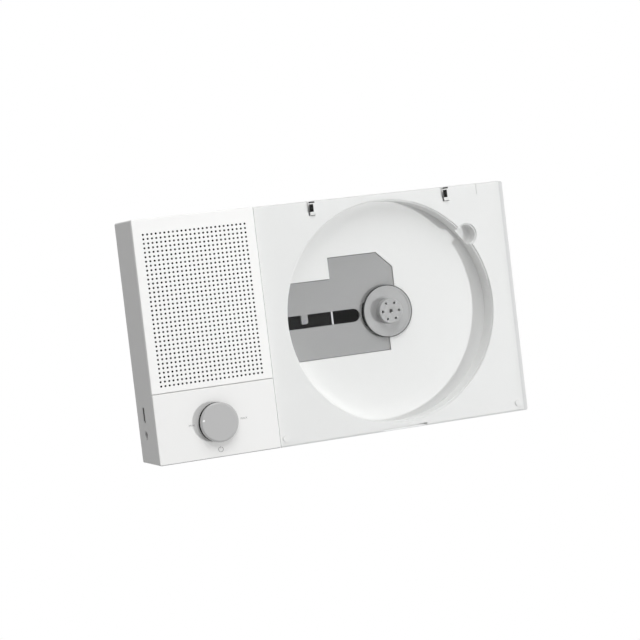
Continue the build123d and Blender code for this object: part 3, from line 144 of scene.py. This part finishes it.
def makeRoom(look):  # even soft room light, which the camera, gloss and glass see as plain white
    world = bpy.data.worlds.new("studioRoom")
    world.use_nodes = True
    scene.world = world
    tree = world.node_tree
    tree.nodes.clear()
    white = (1, 1, 1, 1)
    soft = addNode(tree, "ShaderNodeBackground", inputs={"Color": white, "Strength": look["roomLight"]})
    plain = addNode(tree, "ShaderNodeBackground", inputs={"Color": white, "Strength": 1.0})
    mixed = addNode(
        tree, "ShaderNodeMixShader",
        inputs={0: eitherRay(tree, backdropRays), 1: soft.outputs[0], 2: plain.outputs[0]},
    )
    addNode(tree, "ShaderNodeOutputWorld", inputs={"Surface": mixed.outputs[0]})


def makeFloor(look):  # a wide pale floor well below the object, white to the same rays as the room
    low = cadBox[0][2] - look["floorDrop"] * mm
    reach = look["floorReach"] * mm
    mesh = bpy.data.meshes.new("studioFloor")
    corners = [(-reach, -reach, low), (reach, -reach, low), (reach, reach, low), (-reach, reach, low)]
    mesh.from_pydata(corners, [], [(0, 1, 2, 3)])
    floor = bpy.data.objects.new("studioFloor", mesh)
    scene.collection.objects.link(floor)
    material, tree = newMaterial("paleFloorPaint")
    matt = addNode(
        tree, "ShaderNodeBsdfPrincipled",
        inputs={"Base Color": toLinear(look["floorColour"]), "Roughness": look["floorRoughness"]},
    )
    glow = addNode(tree, "ShaderNodeEmission", inputs={"Color": (1, 1, 1, 1), "Strength": 1.0})
    mixed = addNode(
        tree, "ShaderNodeMixShader",
        inputs={0: eitherRay(tree, backdropRays), 1: matt.outputs[0], 2: glow.outputs[0]},
    )
    addNode(tree, "ShaderNodeOutputMaterial", inputs={"Surface": mixed.outputs[0]})
    mesh.materials.append(material)


makeCamera(studio)
makeLamp("keyLamp", studio["keyPlace"], studio["keySize"], studio["keyWatt"])
makeLamp("fillLamp", studio["fillPlace"], studio["fillSize"], studio["fillWatt"])
makeRoom(studio)
makeFloor(studio)
scene.view_settings.view_transform = "Standard"
print("player: camera, lamps and floor made")

# finishes, in millimetres: what a finish doesn't give comes from one of these two
moulded = {
    "cloudMm": 30, "grainMm": 0.35, "roughness": 0.5, "roughSpread": 0.06, "reliefShare": 0.25,
    "reliefMm": 0.01, "metallic": 0.0, "ior": 1.5,
}
worked = {
    "roughness": 0.35, "roughSpread": 0.08, "reliefShare": 0.3, "reliefMm": 0.004, "metallic": 1.0, "ior": 1.5,
}


def insideBlock(tree, place, low, high):  # 1 where the surface lies between two corners, otherwise 0
    middle = tuple((a + b) / 2 * mm for a, b in zip(low, high))
    away = addNode(tree, "ShaderNodeVectorMath", {"operation": "SUBTRACT"}, {0: place, 1: middle})
    away = addNode(tree, "ShaderNodeVectorMath", {"operation": "ABSOLUTE"}, {0: away.outputs[0]})
    apart = addNode(tree, "ShaderNodeSeparateXYZ", inputs={0: away.outputs[0]})
    inside = 1.0
    for axis in range(3):
        half = (high[axis] - low[axis]) / 2 * mm
        near = addNode(tree, "ShaderNodeMath", {"operation": "LESS_THAN"}, {0: apart.outputs[axis], 1: half})
        both = addNode(tree, "ShaderNodeMath", {"operation": "MULTIPLY"}, {0: inside, 1: near.outputs[0]})
        inside = both.outputs[0]
    return inside


def finishSurface(tree, look, pattern, colour):  # roughness and relief both follow one pattern
    least, most = look["roughness"] - look["roughSpread"], look["roughness"] + look["roughSpread"]
    gloss = addNode(tree, "ShaderNodeMapRange", inputs={0: pattern, 3: least, 4: most})
    relief = addNode(
        tree, "ShaderNodeBump",
        inputs={"Height": pattern, "Strength": look["reliefShare"], "Distance": look["reliefMm"] * mm},
    )
    shader = addNode(
        tree, "ShaderNodeBsdfPrincipled",
        inputs={
            "Base Color": colour,
            "Roughness": gloss.outputs[0],
            "Metallic": look["metallic"],
            "IOR": look["ior"],
            "Normal": relief.outputs[0],
        },
    )
    addNode(tree, "ShaderNodeOutputMaterial", inputs={"Surface": shader.outputs[0]})


def grainedFinish(name, **changes):  # a solid colour with a faint cloud in it, and a fine grain
    look = {**moulded, **changes}
    material, tree = newMaterial(name)
    place = addNode(tree, "ShaderNodeTexCoord").outputs["Object"]
    cloud = addNode(
        tree, "ShaderNodeTexNoise",
        inputs={"Vector": place, "Scale": perMetre(look["cloudMm"]), "Detail": 3.0},
    )
    colour = addNode(
        tree, "ShaderNodeMix", {"data_type": "RGBA"},
        {0: cloud.outputs["Fac"], 6: toLinear(look["colour"]), 7: toLinear(look["colourTwo"])},
    )
    if "coreBlock" in look:  # painted shade: a darker colour inside the given block
        core = insideBlock(tree, place, *look["coreBlock"])
        colour = addNode(
            tree, "ShaderNodeMix", {"data_type": "RGBA"},
            {0: core, 6: colour.outputs[2], 7: toLinear(look["coreColour"])},
        )
    grain = addNode(
        tree, "ShaderNodeTexNoise",
        inputs={"Vector": place, "Scale": perMetre(look["grainMm"]), "Detail": 2.0},
    )
    finishSurface(tree, look, grain.outputs["Fac"], colour.outputs[2])
    return material


def brushedFinish(name, **changes):  # metal with fine parallel marks, longest along one axis
    look = {**worked, **changes}
    material, tree = newMaterial(name)
    place = addNode(tree, "ShaderNodeTexCoord").outputs["Object"]
    stretch = tuple(perMetre(size) for size in look["markMm"])
    stretched = addNode(tree, "ShaderNodeMapping", inputs={"Vector": place, "Scale": stretch})
    marks = addNode(
        tree, "ShaderNodeTexNoise", inputs={"Vector": stretched.outputs[0], "Scale": 1.0, "Detail": 3.0}
    ).outputs["Fac"]
    colour = addNode(
        tree, "ShaderNodeMix", {"data_type": "RGBA"},
        {0: marks, 6: toLinear(look["colour"]), 7: toLinear(look["colourTwo"])},
    )
    finishSurface(tree, look, marks, colour.outputs[2])
    return material


def castAcrylic(name, **look):  # clear sheet, polished on both faces, that lets lamp light straight through
    material, tree = newMaterial(name)
    place = addNode(tree, "ShaderNodeTexCoord").outputs["Object"]
    haze = addNode(
        tree, "ShaderNodeTexNoise",
        inputs={"Vector": place, "Scale": perMetre(look["hazeMm"]), "Detail": 4.0},
    )
    least, most = look["roughness"], look["roughness"] * 2
    gloss = addNode(tree, "ShaderNodeMapRange", inputs={0: haze.outputs["Fac"], 3: least, 4: most})
    sheet = addNode(
        tree, "ShaderNodeBsdfPrincipled",
        inputs={
            "Base Color": toLinear(look["colour"]),
            "Roughness": gloss.outputs[0],
            "IOR": look["ior"],
            "Transmission Weight": 1.0,
        },
    )
    sawn = addNode(
        tree, "ShaderNodeBsdfPrincipled",
        inputs={
            "Base Color": toLinear(look["sawnColour"]),
            "Roughness": look["sawnRoughness"],
            "IOR": look["sawnIor"],
        },
    )
    face = insideBlock(tree, place, *look["clearBlock"])
    shader = addNode(tree, "ShaderNodeMixShader", inputs={0: face, 1: sawn.outputs[0], 2: sheet.outputs[0]})
    passing = addNode(tree, "ShaderNodeBsdfTransparent", inputs={"Color": toLinear(look["lampColour"])})
    lit = eitherRay(tree, ("Is Shadow Ray", "Is Diffuse Ray"))
    mixed = addNode(tree, "ShaderNodeMixShader", inputs={0: lit, 1: shader.outputs[0], 2: passing.outputs[0]})
    addNode(tree, "ShaderNodeOutputMaterial", inputs={"Surface": mixed.outputs[0]})
    return material


def dress(material, *names):
    for name in names:
        mesh = nodes[name].data
        mesh.materials.clear()
        mesh.materials.append(material)


# ABS moulded in a fine spark-eroded mould: white, matt, even
whiteAbs = grainedFinish("whiteMouldedAbs", colour="#F0F0EF", colourTwo="#F2F2F1")
# white paint on aluminium sheet, a touch smoother than the casing; the walls of the punched holes are painted
# black, a painted shade inside the holes
whitePaint = grainedFinish(
    "whitePaintedAluminium", colour="#FCFCFB", colourTwo="#FEFEFD", roughness=0.42, grainMm=0.5,
    coreBlock=((-110.4, -36.92, -26.3), (-47.6, -34.0, 61.5)), coreColour="#0A0A0A",
)
# the control panel's paint, between the two, with a grey line of painted shade along the foot's edge
panelPaint = grainedFinish(
    "whitePanelPaint", colour="#F6F6F5", colourTwo="#F8F8F7",
    coreBlock=((-115.2, -37.1, -69.2), (-42.8, -33.0, -68.5)), coreColour="#BABABA",
)
# glass-filled ABS in black, for what sits behind the openings: dull, nearly without a mirror
blackAbs = grainedFinish("blackMouldedAbs", colour="#0C0C0C", colourTwo="#121212", roughness=0.75, ior=1.2)
# the same plastic in greys: the cover plate's, the turntable's and the lens holder's
plateAbs = grainedFinish("greyPlateAbs", colour="#9B9B9B", colourTwo="#9E9E9E", roughness=0.45)
turntableAbs = grainedFinish("greyTurntableAbs", colour="#A9A9A9", colourTwo="#ACACAC", roughness=0.4)
lensHolderAbs = grainedFinish("paleHolderAbs", colour="#9C9C9C", colourTwo="#A2A2A2", roughness=0.4)
# the knob's grey: satin, a shade lighter
knobAbs = grainedFinish("greySatinAbs", colour="#B9B9B9", colourTwo="#BCBCBC", roughness=0.38)
# pressed glass lens under an anti-reflection coat: pale, nearly without a mirror
lensGlass = grainedFinish("coatedLensGlass", colour="#A4A4AA", colourTwo="#A8A8AE", roughness=0.12, ior=1.3)
# the jack's nylon nose, and nickel plating blackened, as on small sockets
paleNylon = grainedFinish("paleNylon", colour="#CACACA", colourTwo="#CECECE")
blackNickel = grainedFinish(
    "blackNickelPlate", colour="#161616", colourTwo="#1C1C1C", roughness=0.45, ior=1.3
)
# screen ink: flat, with no sheen
whiteInk = grainedFinish("whiteScreenInk", colour="#FAFAFA", colourTwo="#FDFDFD", roughness=0.6)
greyInk = grainedFinish("greyScreenInk", colour="#8C8C8C", colourTwo="#969696", roughness=0.6)
# nylon gears, faintly waxy
nylon = grainedFinish("naturalNylon", colour="#E4E2DA", colourTwo="#EAE8E0", roughness=0.35)
# dark rubber and foam, no sheen, and the soft white dots that the lid closes on
darkRubber = grainedFinish(
    "blackNitrileRubber", colour="#1E1E1E", colourTwo="#262626", roughness=0.8, grainMm=0.8
)
whiteSilicone = grainedFinish("whiteSilicone", colour="#F4F4F3", colourTwo="#F6F6F5", roughness=0.6)
# pressed paper with visible fibres
paperCone = grainedFinish(
    "pressedPaper", colour="#181818", colourTwo="#2A2A2A", cloudMm=1.2, grainMm=0.6, roughness=0.85,
    reliefMm=0.06,
)
# fired magnet stone, gritty and dark
ferrite = grainedFinish("firedFerrite", colour="#2A2A2C", colourTwo="#343436", roughness=0.6, grainMm=0.6)
# lacquer on the boards and shrink film round the cells, both glossy
solderMask = grainedFinish("greenSolderMask", colour="#12402A", colourTwo="#1A4C33", roughness=0.3)
cellWrap = grainedFinish("blueCellWrap", colour="#2A3E63", colourTwo="#30466E", roughness=0.25)
# baked powder on the wall bracket: pale, with a soft orange-peel relief
powderCoat = grainedFinish(
    "palePowderCoat", colour="#D6D6D6", colourTwo="#DCDCDC", grainMm=0.7, reliefMm=0.03, roughness=0.6
)
# black sheets put behind the openings as painted shade: a knitted-wire liner behind the grille, and a thin film
# behind the slot and in the hinge pockets
shadeMeshPaint = grainedFinish(
    "blackShadeMesh", colour="#060606", colourTwo="#101010", cloudMm=0.6, grainMm=0.6, roughness=0.9,
    reliefMm=0.1, ior=1.1,
)
shadeFilm = grainedFinish(
    "blackShadeFilm", colour="#0A0A0A", colourTwo="#0E0E0E", roughness=0.6, ior=1.2
)
# copper wire under varnish, and metals worked along X
copper = brushedFinish(
    "enamelledCopper", colour="#B5673A", colourTwo="#C47A4A", markMm=(0.3, 0.3, 0.3), roughSpread=0.05
)
steel = brushedFinish(
    "satinStainless", colour="#B8B8B8", colourTwo="#C8C8C8", markMm=(6, 0.15, 0.15), roughness=0.3
)
zinc = brushedFinish("zincPlatedSteel", colour="#9A9A9C", colourTwo="#ACACAE", markMm=(0.4, 0.4, 0.4))
lightAlloy = brushedFinish("spunAluminium", colour="#C8C8C8", colourTwo="#D4D4D4", markMm=(0.8, 0.8, 0.8))
# 2 mm cast sheet: clear through its face, finely frosted on the sawn edges and along its right margin
acrylic = castAcrylic(
    "castAcrylicSheet", colour="#FCFDFD", lampColour="#FBFBFB", hazeMm=60, roughness=0.01, ior=1.2,
    clearBlock=((-42.67, -37.5, -68.8), (113.3, -34.0, 68.4)),
    sawnColour="#DEDFDF", sawnRoughness=0.45, sawnIor=1.3,
)

dress(whiteAbs, "rear_shell", "disc_deck", "well_pan", "front_baffle", "hinge_arms")
dress(whitePaint, "speaker_grille")
dress(panelPaint, "control_panel")
dress(powderCoat, "wall_bracket")
dress(darkRubber, "wall_pads", "speaker_surround", "chassis_dampers", "flange_ring")
dress(whiteSilicone, "lid_bumpers")
# the knob_skirt is dressed black as painted shade for the knob's shaded lower side and the gap beneath it
dress(
    blackAbs, "speaker_frame", "encoder_body", "board_chips", "drive_chassis", "pickup_sled", "knob_skirt",
)
dress(plateAbs, "mechanism_cover")
dress(turntableAbs, "turntable")
dress(lensHolderAbs, "lens_holder")
dress(blackNickel, "usb_socket")
dress(paleNylon, "jack_socket")
dress(knobAbs, "volume_knob")
dress(whiteInk, "knob_pointer")
dress(nylon, "sled_rack", "idler_gear", "motor_pinion", "switch_plunger")
dress(paperCone, "speaker_cone")
dress(ferrite, "speaker_magnet")
dress(lightAlloy, "dust_cap", "spindle_motor", "sled_motor")
dress(copper, "voice_coil")
dress(
    zinc, "tongue_shield", "speaker_screws", "hinge_screws", "motor_screws", "damper_screws", "idler_clip",
    "encoder_nut",
)
dress(
    steel, "bracket_hooks", "knob_shaft", "lid_magnets", "hinge_brackets", "hinge_pins",
    "hinge_springs", "guide_rods", "spindle_shaft", "idler_axle", "motor_bracket",
)
dress(solderMask, "main_board", "lid_sensor")
dress(cellWrap, "battery_pack")
dress(acrylic, "clear_lid")
dress(lensGlass, "pickup_lens")
print("player: finishes assigned")

# pieces


def newPiece(name, mesh, material, body):
    mesh.materials.clear()
    mesh.materials.append(material)
    piece = bpy.data.objects.new(name, mesh)
    scene.collection.objects.link(piece)
    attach(piece, body)
    return piece


def meshFrom(name, shape):  # the finished mesh of a shape, its faces turned outwards
    bmesh.ops.recalc_face_normals(shape, faces=shape.faces)
    mesh = bpy.data.meshes.new(name)
    shape.to_mesh(mesh)
    shape.free()
    return mesh


def slabMesh(name, slabs):  # closed blocks: left, right, the heights of back and front, low, high
    shape = bmesh.new()
    for left, right, back, front, low, high in slabs:
        outline = ((left, low), (right, low), (right, high), (left, high))
        corners = [
            shape.verts.new((x * mm, -height * mm, z * mm)) for height in (back, front) for x, z in outline
        ]
        for ring in ((0, 3, 2, 1), (4, 5, 6, 7), (0, 1, 5, 4), (1, 2, 6, 5), (2, 3, 7, 6), (3, 0, 4, 7)):
            shape.faces.new([corners[i] for i in ring])
    return meshFrom(name, shape)


# a black mesh liner behind the grille, painted shade that darkens the holes
liner = {"span": (-110.2, -47.8), "heights": (35.05, 35.35), "rise": (-26.0, 61.2)}
newPiece(
    "grille_shade_liner", slabMesh("grille_shade_liner", [(*liner["span"], *liner["heights"], *liner["rise"])]),
    shadeMeshPaint, "case",
)

# a black film on the inside of the back, under the drive: painted shade seen through the slot
film = {"span": (-27.0, 45.0), "heights": (4.5, 4.7), "rise": (-14.0, 5.6)}
newPiece(
    "back_shade_film", slabMesh("back_shade_film", [(*film["span"], *film["heights"], *film["rise"])]),
    shadeFilm, "case",
)

# black pads and end stops between each hinge arm and the lid: painted shade in the hinge pockets
hingeShadePads = {
    "hinges": (-6.5, 78.5), "heights": (34.99, 35.03),
    "pad": (-1.75, 0.75, 62.6, 67.0), "stop": (-1.7, 1.7, 67.7, 68.5),
}
hingeSlabs = [
    (centre + left, centre + right, *hingeShadePads["heights"], low, high)
    for centre in hingeShadePads["hinges"] for left, right, low, high in (hingeShadePads["pad"], hingeShadePads["stop"])
]
newPiece("hinge_shade_pads", slabMesh("hinge_shade_pads", hingeSlabs), shadeFilm, "lid")

# screen print on the control panel: two words, and a standby mark whose ring is open at the bar
panelInk = {
    "face": 37.0, "ink": 0.04, "weldMm": 0.0005,
    "words": (("MIN", -94.2), ("MAX", -63.1)), "wordZ": -48.95,
    "capMm": 1.2, "capShare": 0.72, "letterGap": 1.25, "curveSteps": 3,
    "mark": (-78.8, -64.6), "ringMm": 1.4, "lineMm": 0.26, "openAngle": 22, "ringSteps": 32, "bar": (0.5, 1.25),
}


def wordMesh(name, word, centre, look):
    curve = bpy.data.curves.new(name + word, "FONT")
    curve.body = word
    curve.size = look["capMm"] * mm / look["capShare"]
    curve.align_x = "CENTER"
    curve.space_character = look["letterGap"]
    curve.extrude = look["ink"] * mm / 2
    curve.resolution_u = look["curveSteps"]
    holder = bpy.data.objects.new(name + word, curve)
    scene.collection.objects.link(holder)
    flat = bpy.data.meshes.new_from_object(holder.evaluated_get(bpy.context.evaluated_depsgraph_get()))
    bpy.data.objects.remove(holder)
    height = look["face"] + look["ink"] / 2
    place = Vector((centre, -height, look["wordZ"] - look["capMm"] / 2)) * mm
    flat.transform(Matrix.Translation(place) @ Matrix.Rotation(math.radians(90), 4, "X"))
    return flat


def inkFlat(name, look):
    shape = bmesh.new()

    def strip(inner, outer):  # a closed band of ink between two rows of points
        rows = []
        for height in (look["face"], look["face"] + look["ink"]):
            rows.append([
                [shape.verts.new((x * mm, -height * mm, z * mm)) for x, z in side] for side in (inner, outer)
            ])
        (backIn, backOut), (frontIn, frontOut) = rows
        for i in range(len(inner) - 1):
            for a, b in ((frontIn, frontOut), (backOut, backIn), (backIn, frontIn), (frontOut, backOut)):
                shape.faces.new([a[i], a[i + 1], b[i + 1], b[i]])
        for i in (0, len(inner) - 1):
            shape.faces.new([backIn[i], backOut[i], frontOut[i], frontIn[i]])

    markX, markZ = look["mark"]
    ring, half = look["ringMm"], look["lineMm"] / 2
    steps, gap = look["ringSteps"], look["openAngle"]
    turns = [math.radians(90 + gap + (360 - 2 * gap) * i / steps) for i in range(steps + 1)]
    strip(*[
        [(markX + r * math.cos(turn), markZ + r * math.sin(turn)) for turn in turns]
        for r in (ring - half, ring + half)
    ])
    strip(*[[(markX + side, markZ + share * ring) for share in look["bar"]] for side in (-half, half)])
    for word, centre in look["words"]:
        flat = wordMesh(name, word, centre, look)
        shape.from_mesh(flat)
        bpy.data.meshes.remove(flat)
    bmesh.ops.remove_doubles(shape, verts=shape.verts, dist=look["weldMm"] * mm)
    return meshFrom(name, shape)


panelPrint = newPiece("panel_print", inkFlat("panel_print", panelInk), greyInk, "case")
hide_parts("panel_marks")

# self-cutting screws through the back, with a cross recess
screw = {
    "headMm": 2.5, "headRise": 1.0, "headSides": 40, "shankMm": 1.25, "shankLength": 10.0, "shankSides": 24,
    "crossLength": 2.6, "crossWidth": 0.6, "crossDepth": 0.7, "back": 1.2,
    "places": ((-107, 61), (-107, -61), (-51, 61), (-51, -61), (-35, 53), (-35, -61), (107, 53), (107, -61)),
}


def addInput(tree, name, kind, value=None):
    socket = tree.interface.new_socket(name=name, in_out="INPUT", socket_type=kind)
    if value is not None:
        socket.default_value = value
    return socket.identifier


def screwTree(look, material):  # one screw along Z, set on every point with its head towards -Y
    tree = bpy.data.node_groups.new("crossHeadScrews", "GeometryNodeTree")
    tree.interface.new_socket(name="Geometry", in_out="OUTPUT", socket_type="NodeSocketGeometry")
    keys = {"Places": addInput(tree, "Places", "NodeSocketGeometry")}
    for name, value in (
        ("Head Radius", look["headMm"]), ("Head Rise", look["headRise"]), ("Shank Radius", look["shankMm"]),
        ("Shank Length", look["shankLength"]), ("Cross Length", look["crossLength"]),
        ("Cross Width", look["crossWidth"]), ("Cross Depth", look["crossDepth"]),
    ):
        keys[name] = addInput(tree, name, "NodeSocketFloat", value * mm)
    size = addNode(tree, "NodeGroupInput").outputs

    def raised(geometry, height):
        shift = addNode(tree, "ShaderNodeCombineXYZ", inputs={2: height}).outputs[0]
        moved = addNode(tree, "GeometryNodeTransform", inputs={"Geometry": geometry, "Translation": shift})
        return moved.outputs[0]

    def stem(sides, radius, length):  # a cylinder that stands on the origin
        half = addNode(tree, "ShaderNodeMath", {"operation": "MULTIPLY"}, {0: length, 1: 0.5}).outputs[0]
        wide = addNode(
            tree, "GeometryNodeMeshCylinder", inputs={"Vertices": sides, "Radius": radius, "Depth": length}
        )
        return raised(wide.outputs[0], half)

    solid = addNode(tree, "GeometryNodeMeshBoolean", {"operation": "UNION", "solver": "EXACT"})
    cut = addNode(tree, "GeometryNodeMeshBoolean", {"operation": "DIFFERENCE", "solver": "EXACT"})
    tree.links.new(stem(look["headSides"], size["Head Radius"], size["Head Rise"]), solid.inputs[1])
    tree.links.new(stem(look["shankSides"], size["Shank Radius"], size["Shank Length"]), solid.inputs[1])
    tree.links.new(solid.outputs[0], cut.inputs[0])
    for first, second in (("Cross Length", "Cross Width"), ("Cross Width", "Cross Length")):
        spans = {0: size[first], 1: size[second], 2: size["Cross Depth"]}
        box = addNode(tree, "ShaderNodeCombineXYZ", inputs=spans)
        arm = addNode(tree, "GeometryNodeMeshCube", inputs={"Size": box.outputs[0]})
        tree.links.new(arm.outputs[0], cut.inputs[1])
    placed = addNode(
        tree, "GeometryNodeInstanceOnPoints",
        inputs={"Points": size["Places"], "Instance": cut.outputs[0], "Rotation": (math.radians(90), 0, 0)},
    )
    real = addNode(tree, "GeometryNodeRealizeInstances", inputs={"Geometry": placed.outputs[0]})
    painted = addNode(
        tree, "GeometryNodeSetMaterial", inputs={"Geometry": real.outputs[0], "Material": material}
    )
    addNode(tree, "NodeGroupOutput", inputs={0: painted.outputs[0]})
    return tree, keys


def grownMesh(name, points, tree, keys, values):  # the tree's result on these points, as a plain mesh
    mesh = bpy.data.meshes.new(name + "Places")
    mesh.from_pydata(points, [], [])
    holder = bpy.data.objects.new(name + "Places", mesh)
    scene.collection.objects.link(holder)
    modifier = holder.modifiers.new("grow", "NODES")
    modifier.node_group = tree
    for key, value in values.items():
        modifier[keys[key]] = value
    baked = bpy.data.meshes.new_from_object(holder.evaluated_get(bpy.context.evaluated_depsgraph_get()))
    holder.modifiers.clear()
    bpy.data.objects.remove(holder)
    return baked


tree, keys = screwTree(screw, zinc)
screwMesh = grownMesh(
    "case_screw_set", [(x * mm, -screw["back"] * mm, z * mm) for x, z in screw["places"]], tree, keys,
    {"Head Radius": screw["headMm"] * mm, "Cross Depth": screw["crossDepth"] * mm},
)
screwSet = newPiece("case_screw_set", screwMesh, zinc, "case")
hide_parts("case_screws")
print("player: pieces made")
